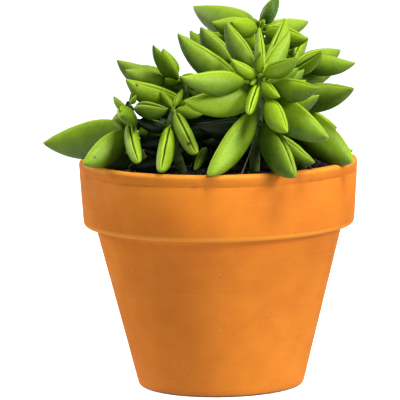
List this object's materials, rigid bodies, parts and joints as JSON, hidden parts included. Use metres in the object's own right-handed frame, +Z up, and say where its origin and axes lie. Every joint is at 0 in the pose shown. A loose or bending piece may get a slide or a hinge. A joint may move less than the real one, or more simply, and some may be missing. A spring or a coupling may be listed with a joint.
{
  "type": "potted peperomia",
  "caption": "Round clay flower pot with a deep rim band, filled with soil and a bushy peperomia of short shoots and thick folded leaves.",
  "frame": {"origin": "centre of the pot's foot, at the mouth of the drain hole, on the surface that the pot stands on", "axes": "+Z up along the pot's axis; the plant's front faces -Y, and +X is to its right seen from the front"},
  "size_m": [0.1236, 0.1186, 0.1523],
  "materials": {
    "clay": "matte",
    "soil": "matte",
    "stem": "satin",
    "leaf_young": "satin",
    "leaf_mature": "satin"
  },
  "bodies": {
    "root": {"pot": "clay", "soil": "soil", "stem_front": "stem", "stem_centre": "stem", "stem_top": "stem", "stem_right": "stem", "stem_left": "stem", "stem_low": "stem", "stem_mid": "stem", "stem_back": "stem", "leaf_front_01": "leaf_mature", "leaf_front_02": "leaf_mature", "leaf_front_03": "leaf_mature", "leaf_front_04": "leaf_mature", "leaf_front_05": "leaf_young", "leaf_front_06": "leaf_young", "leaf_front_07": "leaf_young", "leaf_front_08": "leaf_mature", "leaf_front_09": "leaf_mature", "leaf_front_10": "leaf_young", "leaf_front_11": "leaf_mature", "leaf_front_12": "leaf_mature", "leaf_front_13": "leaf_mature", "leaf_front_14": "leaf_mature", "leaf_front_15": "leaf_mature", "leaf_centre_01": "leaf_mature", "leaf_centre_02": "leaf_young", "leaf_centre_03": "leaf_mature", "leaf_low_01": "leaf_mature", "leaf_low_02": "leaf_mature", "leaf_low_03": "leaf_mature", "leaf_low_04": "leaf_mature", "leaf_low_05": "leaf_young", "leaf_mid_01": "leaf_mature", "leaf_mid_02": "leaf_mature", "leaf_right_01": "leaf_mature", "leaf_right_02": "leaf_mature", "leaf_right_03": "leaf_young", "leaf_right_04": "leaf_mature", "leaf_right_05": "leaf_mature", "leaf_left_01": "leaf_mature", "leaf_left_02": "leaf_mature", "leaf_left_03": "leaf_young", "leaf_left_04": "leaf_mature", "leaf_left_05": "leaf_young", "leaf_left_06": "leaf_young", "leaf_top_01": "leaf_young", "leaf_top_02": "leaf_mature", "leaf_top_03": "leaf_young", "leaf_top_04": "leaf_mature", "leaf_top_05": "leaf_mature", "leaf_top_06": "leaf_young", "leaf_top_07": "leaf_young", "leaf_back_01": "leaf_mature", "leaf_back_02": "leaf_mature", "leaf_back_03": "leaf_mature", "leaf_back_04": "leaf_mature", "leaf_back_05": "leaf_mature", "leaf_back_06": "leaf_mature", "leaf_right_06": "leaf_mature"}
  },
  "joints": []
}
